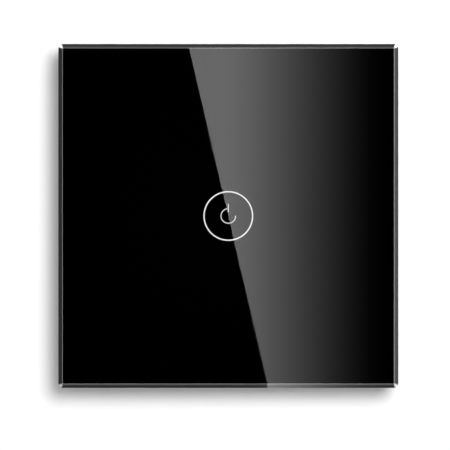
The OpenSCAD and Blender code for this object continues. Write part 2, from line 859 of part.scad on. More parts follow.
module touch_spring() {
    points = [for (k = [0:ring_count - 1]) each spring_ring(k)];
    sides = [
        for (k = [0:ring_count - 2])
            for (s = [0:wire_sides - 1])
                let (
                    a = k * wire_sides + s,
                    b = k * wire_sides + (s + 1) % wire_sides
                )
                each [[a, a + wire_sides, b], [b, a + wire_sides, b + wire_sides]]
    ];
    last = (ring_count - 1) * wire_sides;
    ends = [
        for (s = [1:wire_sides - 2])
            each [[0, s, s + 1], [last, last + s + 1, last + s]]
    ];
    color("goldenrod") polyhedron(points, concat(sides, ends));
}

module control_board() {
    color([0.05, 0.3, 0.15])
        difference() {
            slab(board_w, board_h, control_back, control_front);
            at_posts() rod(board_screw_d + 4 * thread_gap, control_back - eps, control_front + eps);
        }
}

module control_board_screws() {
    depth = ear_front - control_front - screw_end_gap;
    color("silver")
        at_posts()
            translate([0, 0, control_back])
                mirror([0, 0, 1]) screw(board_screw_d, control_t + depth, board_head_d, board_head_h);
}

module indicator_leds() {
    color([1, 1, 0.9]) {
        for (a = [45:90:315])
            rotate([0, 0, a]) slab(led_w, led_l, control_front, control_front + led_h, x = ring_d / 2);
        slab(led_l, led_w, control_front, control_front + led_h);
    }
}

module touch_chip() {
    color([0.1, 0.1, 0.1])
        translate([0, chip_y, control_back]) mirror([0, 0, 1]) chip(chip_l, chip_w, chip_h);
}

header_l = header_count * header_pitch;
header_y = -board_h / 2 + header_inset;
socket_rear = control_back - socket_h;

function pin_x(k) = (k - (header_count - 1) / 2) * header_pitch;

module header_socket() {
    hole = pin_side + 2 * pin_gap;
    color([0.08, 0.08, 0.08])
        difference() {
            slab(header_l, header_w, socket_rear, control_back, y = header_y);
            for (k = [0:header_count - 1])
                slab(hole, hole, socket_rear - eps, socket_rear + pin_reach + pin_gap,
                     x = pin_x(k), y = header_y);
        }
}

module header_base() {
    color([0.12, 0.12, 0.12])
        difference() {
            slab(header_l, header_w, power_front, socket_rear, y = header_y);
            for (k = [0:header_count - 1])
                slab(pin_side, pin_side, power_front - eps, socket_rear + eps, x = pin_x(k), y = header_y);
        }
}

module header_pins() {
    color("gold")
        for (k = [0:header_count - 1])
            slab(pin_side, pin_side, power_front, socket_rear + pin_reach, x = pin_x(k), y = header_y);
}

module power_board() {
    color([0.05, 0.3, 0.15])
        difference() {
            slab(board_w, board_h, power_back, power_front);
            at_posts() rod(board_screw_d + 4 * thread_gap, power_back - eps, power_front + eps);
        }
}

module power_board_screws() {
    color("silver")
        at_posts()
            translate([0, 0, power_front])
                screw(board_screw_d, power_t + post_screw_l, board_head_d, board_head_h);
}

// Sealed relay, drawn standing on z = 0 from its lower left corner
module in_relay() {
    behind_board(top_row_x, top_row_y) children();
}

module relay_base() {
    inner = case_t + thread_gap;
    color([0.1, 0.1, 0.12])
        in_relay()
            translate([inner, inner, 0])
                cube([relay_l - 2 * inner, relay_w - 2 * inner, relay_base_t]);
}

module relay_case() {
    color([0.1, 0.25, 0.55])
        in_relay()
            difference() {
                cube([relay_l, relay_w, relay_h]);
                translate([case_t, case_t, -eps])
                    cube([relay_l - 2 * case_t, relay_w - 2 * case_t, relay_h - case_t + eps]);
            }
}

module relay_yoke() {
    color([0.6, 0.6, 0.6])
        in_relay()
            translate([yoke_x, (relay_w - yoke_w) / 2, relay_base_t])
                union() {
                    cube([armature_end - yoke_x, yoke_w, yoke_t]);
                    cube([yoke_t, yoke_w, pole_end - relay_base_t]);
                }
}

module relay_bobbin() {
    color([0.9, 0.9, 0.85])
        in_relay()
            translate([coil_x, relay_w / 2, 0])
                difference() {
                    union() {
                        rod(coil_d, coil_base, coil_base + coil_flange_t);
                        rod(spool_d, coil_base, coil_end);
                        rod(coil_d, coil_end - coil_flange_t, coil_end);
                    }
                    rod(pole_d + 2 * thread_gap, coil_base - eps, coil_end + eps);
                }
}

module relay_winding() {
    color([0.72, 0.35, 0.15])
        in_relay()
            translate([coil_x, relay_w / 2, 0])
                difference() {
                    rod(coil_d - coil_flange_t, coil_base + coil_flange_t, coil_end - coil_flange_t);
                    rod(spool_d, coil_base, coil_end);
                }
}

module relay_core() {
    color([0.65, 0.65, 0.65])
        in_relay()
            translate([coil_x, relay_w / 2, 0])
                union() {
                    rod(pole_d, coil_base, pole_end);
                    rod(pole_head_d, coil_end, pole_end);
                }
}

module relay_fixed_contact() {
    post_right = relay_l - case_t - case_room;
    button_z = leaf_z - 2 * button_h - armature_gap;
    color("peru")
        in_relay()
            union() {
                translate([post_right - contact_t, (relay_w - leaf_w) / 2, relay_base_t])
                    cube([contact_t, leaf_w, button_z - relay_base_t]);
                translate([contact_x - button_d / 2, (relay_w - leaf_w) / 2, button_z - contact_t])
                    cube([post_right - contact_x + button_d / 2, leaf_w, contact_t]);
                rod(button_d, button_z - contact_t / 2, button_z + button_h, x = contact_x, y = relay_w / 2);
            }
}

// The armature rests open, turned about the yoke's outer edge
module on_armature() {
    in_relay()
        translate([yoke_x, relay_w / 2, pole_end + armature_gap])
            rotate([0, -armature_open, 0]) children();
}

module relay_armature() {
    color([0.6, 0.6, 0.6])
        on_armature() translate([0, -yoke_w / 2, 0]) cube([armature_end - yoke_x, yoke_w, armature_t]);
}

module relay_contact_spring() {
    leaf_start = (armature_end - yoke_x) / 2;
    leaf_end = contact_x + button_d / 2 - yoke_x;
    color("peru")
        on_armature()
            union() {
                translate([leaf_start, -leaf_w / 2, armature_t])
                    cube([leaf_end - leaf_start, leaf_w, leaf_t]);
                rod(button_d, armature_t - button_h, armature_t + leaf_t / 2, x = contact_x - yoke_x);
            }
}

// Transformer, drawn standing on z = 0 from its lower left corner
module in_trafo() {
    behind_board(trafo_x, trafo_y) translate([trafo_w / 2, trafo_l / 2, 0]) children();
}

module transformer_core() {
    color([0.2, 0.2, 0.22])
        in_trafo()
            difference() {
                slab(trafo_w, core_t, core_front, trafo_d);
                for (side = [-1, 1])
                    slab(window_w, core_t + eps, window_front, window_rear,
                         x = side * (core_leg + window_w) / 2);
            }
}

module transformer_bobbin() {
    hole_w = core_leg + 2 * coil_gap;
    hole_l = core_t + 2 * coil_gap;
    flange_x = trafo_w - 2 * core_rim - 2 * coil_gap;
    low = window_front + coil_gap;
    high = window_rear - coil_gap;
    leg_l = (trafo_l - core_t) / 2 - coil_gap;
    color([0.1, 0.1, 0.1])
        in_trafo()
            difference() {
                union() {
                    slab(trafo_w, trafo_l, 0, bobbin_base);
                    for (side = [-1, 1])
                        slab(flange_x, leg_l, bobbin_base / 2, low + bobbin_t,
                             y = side * (trafo_l - leg_l) / 2);
                    slab(flange_x, trafo_l, low, low + bobbin_t);
                    slab(hole_w + 2 * bobbin_t, hole_l + 2 * bobbin_t, low, high);
                    slab(flange_x, trafo_l, high - bobbin_t, high);
                }
                slab(hole_w, hole_l, low - eps / 2, high + eps);
            }
}

module transformer_winding() {
    low = window_front + coil_gap + bobbin_t;
    high = window_rear - coil_gap - bobbin_t;
    tube_w = core_leg + 2 * (coil_gap + bobbin_t);
    tube_l = core_t + 2 * (coil_gap + bobbin_t);
    color([0.9, 0.75, 0.15])
        in_trafo()
            difference() {
                slab(trafo_w - 2 * core_rim - 4 * coil_gap, trafo_l - 2 * bobbin_t, low, high);
                slab(tube_w, tube_l, low - eps, high + eps);
            }
}

module suppression_capacitor() {
    color([0.85, 0.7, 0.1])
        behind_board(mid_x(0), mid_y) slab(box_cap_w, box_cap_l, 0, box_cap_h);
}

module varistor() {
    middle = varistor_lift + varistor_d / 2;
    leg_y = varistor_d / 4;
    color([0.1, 0.3, 0.6])
        behind_board(mid_x(1), mid_y)
            union() {
                translate([-varistor_t / 2, 0, middle])
                    rotate([0, 90, 0]) cylinder(d = varistor_d, h = varistor_t);
                for (side = [-1, 1])
                    rod(varistor_leg_d, 0, middle, y = side * leg_y);
            }
}

module fuse() {
    color([0.12, 0.12, 0.12])
        behind_board(mid_x(2), mid_y)
            rotate_extrude()
                polygon([
                    [0, 0], [fuse_d / 2, 0], [fuse_d / 2, fuse_h - can_groove],
                    [fuse_d / 2 - can_groove, fuse_h], [0, fuse_h]
                ]);
}

module bulk_capacitor() {
    color([0.1, 0.1, 0.15]) behind_board(mid_x(3), mid_y) can(bulk_cap_d, bulk_cap_h);
}

module output_capacitor() {
    color([0.1, 0.1, 0.15]) behind_board(mid_x(4), mid_y) can(output_cap_d, output_cap_h);
}

module rectifier() {
    color([0.1, 0.1, 0.1])
        translate([0, chip_y, power_front]) chip(rectifier_l, rectifier_w, rectifier_h);
}

module terminal_block() {
    cavity_w = cage_w + 2 * cage_play;
    bar_x = bar_w + 2 * thread_gap;
    color([0.2, 0.45, 0.25])
        difference() {
            slab(block_w, block_d - entry_t, block_rear, power_back, y = block_y + (block_d + entry_t) / 2);
            at_entry_pegs()
                cylinder(d = entry_peg_d + 2 * thread_gap, h = 2 * (entry_peg_l + thread_gap), center = true);
            for (k = [0:poles - 1])
                translate([pole_x(k), pole_y, 0]) {
                    rod(screw_head_d + 2 * pocket_gap, block_rear - eps, web_rear);
                    rod(screw_d + 2 * screw_gap, web_rear - eps, web_front + eps);
                    slab(cavity_w, cavity_d + eps, web_front, cavity_front, y = -eps / 2);
                    slab(bar_x, bar_slot + block_wall + eps, bar_rear - thread_gap, bar_front + thread_gap,
                         y = (cavity_d + bar_slot + block_wall - eps) / 2);
                    slab(bar_x, bar_slot, bar_rear - thread_gap, power_back + eps,
                         y = (cavity_d + bar_slot) / 2 + block_wall);
                }
        }
}

// Children that stand on z = 0 are set on the block's lower face, between neighbouring terminals
module at_entry_pegs() {
    for (k = [0:poles - 2])
        translate([pole_x(k) + pole_pitch / 2, block_y + entry_t, (block_rear + web_rear) / 2])
            rotate([-90, 0, 0]) children();
}

// Plate that closes the cages in and lets the wires through
module terminal_entry() {
    color([0.2, 0.45, 0.25])
        difference() {
            union() {
                slab(block_w, entry_t, block_rear, power_back, y = block_y + entry_t / 2);
                at_entry_pegs()
                    translate([0, 0, -entry_t / 2]) cylinder(d = entry_peg_d, h = entry_t / 2 + entry_peg_l);
            }
            for (k = [0:poles - 1])
                translate([pole_x(k), block_y - eps, wire_z])
                    rotate([-90, 0, 0]) cylinder(d = wire_hole_d, h = entry_t + 2 * eps);
        }
}

module terminal_contacts() {
    bar_low_y = -cage_d / 2;
    bar_high_y = cavity_d / 2 + block_wall + thread_gap + bar_t;
    color("peru")
        for (k = [0:poles - 1])
            translate([pole_x(k), pole_y, 0])
                union() {
                    slab(bar_w, bar_high_y - bar_low_y, bar_rear, bar_front,
                         y = (bar_high_y + bar_low_y) / 2);
                    slab(bar_w, bar_t, bar_rear, power_back, y = bar_high_y - bar_t / 2);
                }
}

module clamp_cage(k) {
    color([0.75, 0.62, 0.3])
        translate([pole_x(k), pole_y, 0])
            difference() {
                slab(cage_w, cage_d, cage_rear, cage_front);
                slab(cage_w - 2 * cage_t, cage_d + eps, cage_rear + cage_thread_t, cage_front - cage_t);
                rod(screw_d + 2 * screw_gap, cage_rear - eps, cage_rear + cage_thread_t + eps);
            }
}

module terminal_screw(k) {
    head_front = web_rear - head_gap;
    color([0.8, 0.8, 0.8])
        translate([pole_x(k), pole_y, head_front])
            mirror([0, 0, 1]) screw(screw_d, screw_tip - head_front, screw_head_d, screw_head_h);
}

upright() glass_panel();
upright() back_print();
upright() lit_marks();
upright() diffuser_film();
upright() adhesive_tape();
upright() panel_frame();
upright() panel_clips();
upright() mounting_plate();
upright() rear_housing();
upright() housing_screws();
upright() inner_cover();
upright() light_guide();
upright() touch_spring();
upright() control_board();
upright() control_board_screws();
upright() indicator_leds();
upright() touch_chip();
upright() header_socket();
upright() header_base();
upright() header_pins();
upright() power_board();
upright() power_board_screws();
upright() relay_base();
upright() relay_case();
upright() relay_yoke();
upright() relay_bobbin();
upright() relay_winding();
upright() relay_core();
upright() relay_fixed_contact();
upright() relay_armature();
upright() relay_contact_spring();
upright() transformer_bobbin();
upright() transformer_winding();
upright() transformer_core();
upright() suppression_capacitor();
upright() varistor();
upright() fuse();
upright() bulk_capacitor();
upright() output_capacitor();
upright() rectifier();
upright() terminal_block();
upright() terminal_entry();
upright() terminal_contacts();
upright() clamp_cage(0);  // clamp_cage_1
upright() clamp_cage(1);  // clamp_cage_2
upright() clamp_cage(2);  // clamp_cage_3
upright() terminal_screw(0);  // terminal_screw_1
upright() terminal_screw(1);  // terminal_screw_2
upright() terminal_screw(2);  // terminal_screw_3
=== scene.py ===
import json
import math

import bmesh
import bpy
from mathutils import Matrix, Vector


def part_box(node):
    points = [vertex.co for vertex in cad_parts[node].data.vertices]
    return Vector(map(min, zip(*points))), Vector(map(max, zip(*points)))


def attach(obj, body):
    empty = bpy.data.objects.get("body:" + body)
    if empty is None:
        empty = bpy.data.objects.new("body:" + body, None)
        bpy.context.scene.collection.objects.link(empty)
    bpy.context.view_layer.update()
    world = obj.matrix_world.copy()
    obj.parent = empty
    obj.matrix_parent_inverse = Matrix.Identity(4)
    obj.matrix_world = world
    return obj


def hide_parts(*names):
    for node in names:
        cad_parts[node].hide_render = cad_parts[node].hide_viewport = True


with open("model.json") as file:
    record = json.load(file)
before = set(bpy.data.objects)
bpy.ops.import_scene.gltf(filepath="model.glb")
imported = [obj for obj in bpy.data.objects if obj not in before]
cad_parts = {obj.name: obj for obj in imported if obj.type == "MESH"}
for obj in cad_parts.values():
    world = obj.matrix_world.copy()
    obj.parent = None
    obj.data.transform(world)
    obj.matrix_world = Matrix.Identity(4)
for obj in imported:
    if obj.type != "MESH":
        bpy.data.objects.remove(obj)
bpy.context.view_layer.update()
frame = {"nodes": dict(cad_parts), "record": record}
NODES = frame["nodes"]
NODE_SLOTS = {part["node"]: part["material_slot"] for part in frame["record"]["subparts"]}
SCENE = bpy.context.scene
SCENE.view_settings.view_transform = "Standard"
MM = 0.001


# Node trees

# Sockets of a Mix node that mixes colours
MIX_FACTOR, MIX_A, MIX_B, MIX_RESULT = 0, 6, 7, 2
# Range that holds most of a noise's values
NOISE_LOW, NOISE_HIGH = 0.3, 0.7


class Tree:
    """A material's or the world's node tree, with short calls for the nodes used here."""

    def __init__(self, owner):
        owner.use_nodes = True
        self.tree = owner.node_tree
        self.tree.nodes.clear()

    def add(self, kind, **settings):
        node = self.tree.nodes.new("ShaderNode" + kind)
        for key, value in settings.items():
            setattr(node, key, value)
        return node

    def feed(self, socket, value):
        """Links an output to a socket, or sets the socket's own value."""
        if isinstance(value, bpy.types.NodeSocket):
            self.tree.links.new(value, socket)
        elif isinstance(value, tuple) and len(value) == 3 and socket.type == "RGBA":
            socket.default_value = (*value, 1.0)
        else:
            socket.default_value = value

    def math(self, operation, a, b=None, c=None):
        node = self.add("Math", operation=operation)
        for socket, value in zip(node.inputs, (a, b, c)):
            if value is not None:
                self.feed(socket, value)
        return node.outputs[0]

    def span(self, value, low, high, start=0.0, end=1.0):
        """value from start to end, mapped to low to high and held there."""
        node = self.add("MapRange", clamp=True)
        limits = {"From Min": start, "From Max": end, "To Min": low, "To Max": high}
        for name, setting in {"Value": value, **limits}.items():
            self.feed(node.inputs[name], setting)
        return node.outputs["Result"]

    def about(self, noise, middle, spread):
        """A value that a noise moves by up to this spread to either side of its middle."""
        return self.span(noise, middle - spread, middle + spread, NOISE_LOW, NOISE_HIGH)

    def off_centre(self, lanes):
        """0 in the middle of each lane and 0.5 at its edges, for lanes that are one unit wide."""
        return self.math("ABSOLUTE", self.math("SUBTRACT", self.math("FRACT", lanes), 0.5))

    def mix(self, factor, a, b):
        node = self.add("Mix", data_type="RGBA", blend_type="MIX")
        self.feed(node.inputs[MIX_FACTOR], factor)
        self.feed(node.inputs[MIX_A], a)
        self.feed(node.inputs[MIX_B], b)
        return node.outputs[MIX_RESULT]

    def split(self, vector):
        node = self.add("SeparateXYZ")
        self.feed(node.inputs[0], vector)
        return node.outputs

    def join(self, x, y, z):
        node = self.add("CombineXYZ")
        for socket, value in zip(node.inputs, (x, y, z)):
            self.feed(socket, value)
        return node.outputs[0]

    def noise(self, vector, size, detail=2.0, rough=0.5):
        """Noise from 0 to 1 whose blotches are about size metres across."""
        node = self.add("TexNoise")
        self.feed(node.inputs["Vector"], vector)
        self.feed(node.inputs["Scale"], 1.0 / size)
        self.feed(node.inputs["Detail"], detail)
        self.feed(node.inputs["Roughness"], rough)
        return node.outputs[0]

    def stretched(self, vector, x=1.0, y=1.0, z=1.0):
        """The coordinates divided by these numbers, so that a pattern runs long that way."""
        node = self.add("VectorMath", operation="DIVIDE")
        self.feed(node.inputs[0], vector)
        self.feed(node.inputs[1], (x, y, z))
        return node.outputs[0]

    def bump(self, height, depth):
        """A normal bumped by height, from 0 to 1, over depth metres."""
        node = self.add("Bump")
        self.feed(node.inputs["Strength"], 1.0)
        self.feed(node.inputs["Distance"], depth)
        self.feed(node.inputs["Height"], height)
        return node.outputs[0]


class Finish(Tree):
    """One Principled material."""

    def __init__(self, name):
        self.mat = bpy.data.materials.new(name)
        super().__init__(self.mat)
        self.bsdf = self.add("BsdfPrincipled")
        out = self.add("OutputMaterial")
        self.tree.links.new(self.bsdf.outputs[0], out.inputs[0])
        self.at = self.add("TexCoord").outputs["Object"]

    def put(self, **inputs):
        for name, value in inputs.items():
            self.feed(self.bsdf.inputs[name.replace("_", " ")], value)
        return self

    def varied(self, noise, rgb, vary):
        """A colour that a noise makes darker and lighter by up to this share."""
        return self.mix(noise, shade(rgb, 1 - vary), shade(rgb, 1 + vary))


def grey(level):
    return (level, level, level)


def shade(rgb, k):
    """The colour k times as light."""
    return tuple(min(1.0, c * k) for c in rgb)


# Plastics, metals and resins

def moulded(name, rgb, rough=0.45, worn=1.12, vary=0.05, grain=0.22 * MM, depth=0.006 * MM):
    """Injection moulded plastic: spark grain, faint flow marks and specks rubbed a little lighter."""
    f = Finish(name)
    flow = f.noise(f.at, size=14 * MM, detail=3.0)
    speck = f.noise(f.at, size=0.6 * MM)
    rubbed = f.span(speck, low=0.0, high=0.35, start=0.55, end=0.75)
    colour = f.mix(rubbed, f.varied(flow, rgb, vary), shade(rgb, worn))
    texture = f.noise(f.at, size=grain, detail=3.0, rough=0.6)
    gloss = f.math("ADD", f.about(texture, rough, spread=0.05), f.about(flow, 0.0, spread=0.04))
    return f.put(Base_Color=colour, Roughness=gloss, Normal=f.bump(texture, depth)).mat


def metal(name, rgb, rough=0.28, long=(1.0, 1.0, 1.0), vary=0.08, dull=0.75, depth=0.003 * MM):
    """Plated or rolled metal: rolling lines along one way, clouded plating and a few dull spots."""
    f = Finish(name)
    cloud = f.noise(f.at, size=2.5 * MM, detail=3.0)
    lines = f.noise(f.stretched(f.at, *long), size=0.12 * MM, detail=3.0, rough=0.6)
    spots = f.span(f.noise(f.at, size=0.9 * MM), low=0.0, high=1.0, start=0.6, end=0.72)
    dulled = f.math("MULTIPLY", spots, 0.5)
    colour = f.mix(dulled, f.varied(cloud, rgb, vary), shade(rgb, dull))
    gloss = f.math("ADD", f.about(lines, rough, spread=0.08), f.math("MULTIPLY", spots, 0.12))
    return f.put(Base_Color=colour, Metallic=1.0, Roughness=gloss, Normal=f.bump(lines, depth)).mat


def resin(name, rgb, rough=0.4, vary=0.12, depth=0.012 * MM):
    """Cast or dipped resin: a slightly uneven skin."""
    f = Finish(name)
    skin = f.noise(f.at, size=0.9 * MM, detail=4.0, rough=0.6)
    pits = f.noise(f.at, size=0.18 * MM)
    colour = f.varied(skin, rgb, vary)
    gloss = f.about(pits, rough, spread=0.1)
    return f.put(Base_Color=colour, Roughness=gloss, Normal=f.bump(skin, depth)).mat


# Lit front

GLASS_IOR, ACRYLIC_IOR = 1.5, 1.49
GLASS_ROUGH_LOW, GLASS_ROUGH_HIGH = 0.002, 0.01
CLEAR_TINT = 0.5
SMOKE_TINT_LOW, SMOKE_TINT_HIGH = 0.0026, 0.0034
SMOKE_START, SMOKE_END, SMOKE_BEND = 7 * MM, 32 * MM, 0.4
RING_LIGHT, MARK_LIGHT = 1.15, 0.9
RING_EDGE, RING_STEP = 4.5 * MM, 0.2 * MM
TAPE_CELL = 0.35 * MM


def from_middle(f):
    x, y, z = f.split(f.at)
    return f.math("SQRT", f.math("ADD", f.math("MULTIPLY", x, x), f.math("MULTIPLY", z, z)))


def glass_finish():
    """Smoked glass, paler round the ring and the mark so that they show."""
    f = Finish("panel_glass")
    film = f.noise(f.at, size=9 * MM, detail=3.0)
    smoke = f.mix(film, grey(SMOKE_TINT_LOW), grey(SMOKE_TINT_HIGH))
    reach = f.span(from_middle(f), 0.0, 1.0, SMOKE_START, SMOKE_END)
    colour = f.mix(f.math("POWER", reach, SMOKE_BEND), grey(CLEAR_TINT), smoke)
    gloss = f.span(film, GLASS_ROUGH_LOW, GLASS_ROUGH_HIGH, NOISE_LOW, NOISE_HIGH)
    return f.put(Base_Color=colour, Transmission_Weight=1.0, IOR=GLASS_IOR, Roughness=gloss).mat


def print_finish():
    """Matt black ink."""
    f = Finish("black_print")
    screen = f.noise(f.at, size=0.08 * MM)
    flow = f.noise(f.at, size=5 * MM)
    colour = f.mix(flow, (0.0012, 0.0012, 0.0013), (0.002, 0.002, 0.0022))
    f.put(Base_Color=colour, Roughness=f.span(flow, 0.45, 0.6), Normal=f.bump(screen, depth=0.002 * MM))
    return f.put(Specular_IOR_Level=0.0).mat


def lit_finish():
    """White ink lit from behind, with the ring brighter than the mark inside it."""
    f = Finish("lit_ink")
    grain = f.noise(f.at, size=0.3 * MM)
    ring = f.span(from_middle(f), MARK_LIGHT, RING_LIGHT, RING_EDGE, RING_EDGE + RING_STEP)
    level = f.math("MULTIPLY", ring, f.span(grain, 0.97, 1.03))
    colour = f.mix(grain, grey(0.18), grey(0.22))
    f.put(Base_Color=colour, Roughness=f.span(grain, 0.5, 0.6), Emission_Strength=level)
    return f.put(Emission_Color=grey(1.0), Specular_IOR_Level=0.0).mat


def film_finish():
    """Frosted white film."""
    f = Finish("diffuser_film")
    frost = f.noise(f.at, size=0.1 * MM)
    cloud = f.noise(f.at, size=3 * MM)
    colour = f.mix(cloud, (0.88, 0.88, 0.86), (0.95, 0.95, 0.94))
    gloss = f.span(frost, 0.5, 0.65)
    return f.put(Base_Color=colour, Roughness=gloss, Normal=f.bump(frost, depth=0.004 * MM)).mat


def tape_finish():
    """Closed cell foam tape."""
    f = Finish("adhesive_tape")
    cell = f.add("TexVoronoi")
    f.feed(cell.inputs["Vector"], f.at)
    f.feed(cell.inputs["Scale"], 1 / TAPE_CELL)
    height = cell.outputs["Distance"]
    colour = f.mix(height, (0.035, 0.035, 0.036), (0.07, 0.07, 0.072))
    gloss = f.span(height, 0.75, 0.9)
    return f.put(Base_Color=colour, Roughness=gloss, Normal=f.bump(height, depth=0.04 * MM)).mat


def acrylic_finish():
    """Clear acrylic with a little haze."""
    f = Finish("clear_acrylic")
    haze = f.noise(f.at, size=2 * MM, detail=3.0)
    colour = f.mix(haze, (0.95, 0.97, 0.98), grey(1.0))
    gloss = f.span(haze, 0.12, 0.22)
    return f.put(Base_Color=colour, Transmission_Weight=1.0, IOR=ACRYLIC_IOR, Roughness=gloss).mat


# Electronics

# Tracks of a board: the distance between two, the length of a run and a seed that tells the two ways apart
TRACKS_ALONG_X = (1.27 * MM, 7.3 * MM, 1.0)
TRACKS_ALONG_Z = (1.9 * MM, 5.1 * MM, 2.0)
# Where a track's edge starts and ends, in shares of that distance, and the share of runs left empty
TRACK_EDGE_START, TRACK_EDGE_END = 0.14, 0.18
EMPTY_RUNS = 0.45
# How squarely a face looks along an axis to count as a board's face, a can's end or the place of its stripe
BOARD_FACE, CAN_END, CAN_STRIPE = 0.5, 0.9, 0.86
# Square of a turn's radius in shares of the pitch, a little over that of a half circle
TURN_RADIUS_SQUARED = 0.26


def board_finish():
    """Green solder mask over copper tracks, bare glass cloth at the sawn edges."""
    f = Finish("circuit_board")
    x, y, z = f.split(f.at)

    def tracks(along, across, pitch, run, seed):
        lane = f.math("DIVIDE", across, pitch)
        line = f.span(f.off_centre(lane), 1.0, 0.0, TRACK_EDGE_START, TRACK_EDGE_END)
        step = f.math("FLOOR", f.math("DIVIDE", along, run))
        cell = f.add("TexWhiteNoise", noise_dimensions="3D")
        f.feed(cell.inputs["Vector"], f.join(f.math("FLOOR", lane), step, seed))
        return f.math("MULTIPLY", line, f.math("GREATER_THAN", cell.outputs["Value"], EMPTY_RUNS))

    copper = f.math("MAXIMUM", tracks(x, z, *TRACKS_ALONG_X), tracks(z, x, *TRACKS_ALONG_Z))
    ink = f.noise(f.at, size=4 * MM, detail=3.0)
    mask = f.mix(copper, f.mix(ink, (0.012, 0.11, 0.05), (0.02, 0.15, 0.07)), (0.035, 0.27, 0.13))
    facing = f.math("ABSOLUTE", f.split(f.add("NewGeometry").outputs["True Normal"])[1])
    weave = f.noise(f.stretched(f.at, x=6.0, z=6.0), size=0.1 * MM)
    edge = f.mix(weave, (0.42, 0.36, 0.2), (0.6, 0.55, 0.36))
    colour = f.mix(f.math("GREATER_THAN", facing, BOARD_FACE), edge, mask)
    gloss = f.span(ink, 0.22, 0.36)
    return f.put(Base_Color=colour, Roughness=gloss, Normal=f.bump(copper, depth=0.03 * MM)).mat


def wrapped(name, rgb, pitch, metallic=0.0, rough=0.3, depth=0.05 * MM):
    """Turns of wire or tape wound round the x axis, lying side by side at this pitch, with painted shade
    darkening the grooves between them.
    """
    f = Finish(name)
    offset = f.off_centre(f.math("DIVIDE", f.split(f.at)[0], pitch))
    crown = f.math("SQRT", f.math("SUBTRACT", TURN_RADIUS_SQUARED, f.math("MULTIPLY", offset, offset)))
    cloud = f.noise(f.at, size=1.5 * MM, detail=3.0)
    # Painted shade: the colour darkens in the grooves between turns, where shade would fall.
    groove_shade = f.span(offset, low=0.0, high=0.6, start=0.38, end=0.5)
    colour = f.mix(groove_shade, f.varied(cloud, rgb, vary=0.1), shade(rgb, 0.45))
    gloss = f.span(cloud, rough - 0.08, rough + 0.08)
    return f.put(Base_Color=colour, Metallic=metallic, Roughness=gloss, Normal=f.bump(crown, depth)).mat


def can_finish():
    """Shrunk sleeve of a capacitor, with its plain pale stripe, and bare aluminium on the end."""
    f = Finish("can_sleeve")
    cloud = f.noise(f.at, size=2 * MM, detail=3.0)
    wrinkle = f.noise(f.stretched(f.at, y=5.0), size=0.5 * MM)
    normal = f.split(f.add("NewGeometry").outputs["True Normal"])
    stripe = f.math("GREATER_THAN", normal[2], CAN_STRIPE)
    end = f.math("GREATER_THAN", f.math("ABSOLUTE", normal[1]), CAN_END)
    colour = f.mix(cloud, (0.025, 0.026, 0.045), (0.045, 0.046, 0.07))
    colour = f.mix(stripe, colour, (0.45, 0.46, 0.48))
    colour = f.mix(end, colour, f.mix(cloud, grey(0.6), grey(0.72)))
    gloss = f.span(cloud, 0.25, 0.4)
    return f.put(Base_Color=colour, Roughness=gloss, Normal=f.bump(wrinkle, depth=0.02 * MM)).mat


FINISHES = {
    "panel_glass": glass_finish(),
    "black_print": print_finish(),
    "lit_ink": lit_finish(),
    "diffuser_film": film_finish(),
    "adhesive_tape": tape_finish(),
    "frame_plastic": moulded("frame_plastic", (0.03, 0.03, 0.032), rough=0.42, worn=1.5),
    "plate_plastic": moulded("plate_plastic", (0.78, 0.78, 0.75), rough=0.5),
    "housing_plastic": moulded("housing_plastic", (0.82, 0.82, 0.79), rough=0.48),
    "spring_steel": metal("spring_steel", (0.6, 0.6, 0.6), rough=0.26, long=(8, 1, 1)),
    "zinc_steel": metal("zinc_steel", (0.7, 0.7, 0.68), rough=0.3),
    "clear_acrylic": acrylic_finish(),
    "plated_spring": metal("plated_spring", (0.83, 0.66, 0.32), rough=0.2),
    "circuit_board": board_finish(),
    "led_resin": resin("led_resin", (0.85, 0.78, 0.42), rough=0.35),
    "chip_resin": resin("chip_resin", (0.03, 0.03, 0.032), rough=0.5, depth=0.006 * MM),
    "gold_plate": metal("gold_plate", (0.85, 0.68, 0.3), rough=0.22),
    "relay_plastic": moulded("relay_plastic", (0.03, 0.13, 0.42), rough=0.35),
    "soft_iron": metal("soft_iron", (0.45, 0.45, 0.44), rough=0.42, vary=0.12),
    "bobbin_plastic": moulded("bobbin_plastic", (0.8, 0.8, 0.76), rough=0.45),
    "copper_wire": wrapped("copper_wire", (0.62, 0.28, 0.12), pitch=0.16 * MM, metallic=1.0),
    "contact_bronze": metal("contact_bronze", (0.7, 0.45, 0.25), rough=0.28, long=(1, 1, 8)),
    "winding_tape": wrapped("winding_tape", (0.85, 0.62, 0.08), pitch=4.2 * MM),
    "ferrite": resin("ferrite", (0.09, 0.09, 0.092), rough=0.6, vary=0.2, depth=0.02 * MM),
    "box_film": moulded("box_film", (0.8, 0.58, 0.05), rough=0.32),
    "varistor_coat": resin("varistor_coat", (0.05, 0.17, 0.45), rough=0.25, depth=0.05 * MM),
    "can_sleeve": can_finish(),
    "terminal_plastic": moulded("terminal_plastic", (0.12, 0.36, 0.17), rough=0.4),
    "cage_brass": metal("cage_brass", (0.75, 0.6, 0.3), rough=0.3, long=(1, 1, 6)),
}


# Stage

WALL_HALF = 2.5
WALL_GAP, WALL_SINK = 1.0 * MM, 0.05 * MM
WALL_LEVEL, WALL_LIFT = 0.86, 0.13
SQUARE = ((-1, -1), (1, -1), (1, 1), (-1, 1))

WORLD_FILL = 0.22
PANE_PITCH, PANE_SLANT, PANE_FALL = 0.14, 0.35, 2.0
PANE_LIGHT, PANE_GAP = 1.2, 0.3
# How light the panes are low down and high up, and how far from level that is
PANES_LOW, PANES_HIGH, PANES_RISE = 0.3, 0.9, 0.5
BEHIND_START, BEHIND_END = -0.05, 0.3

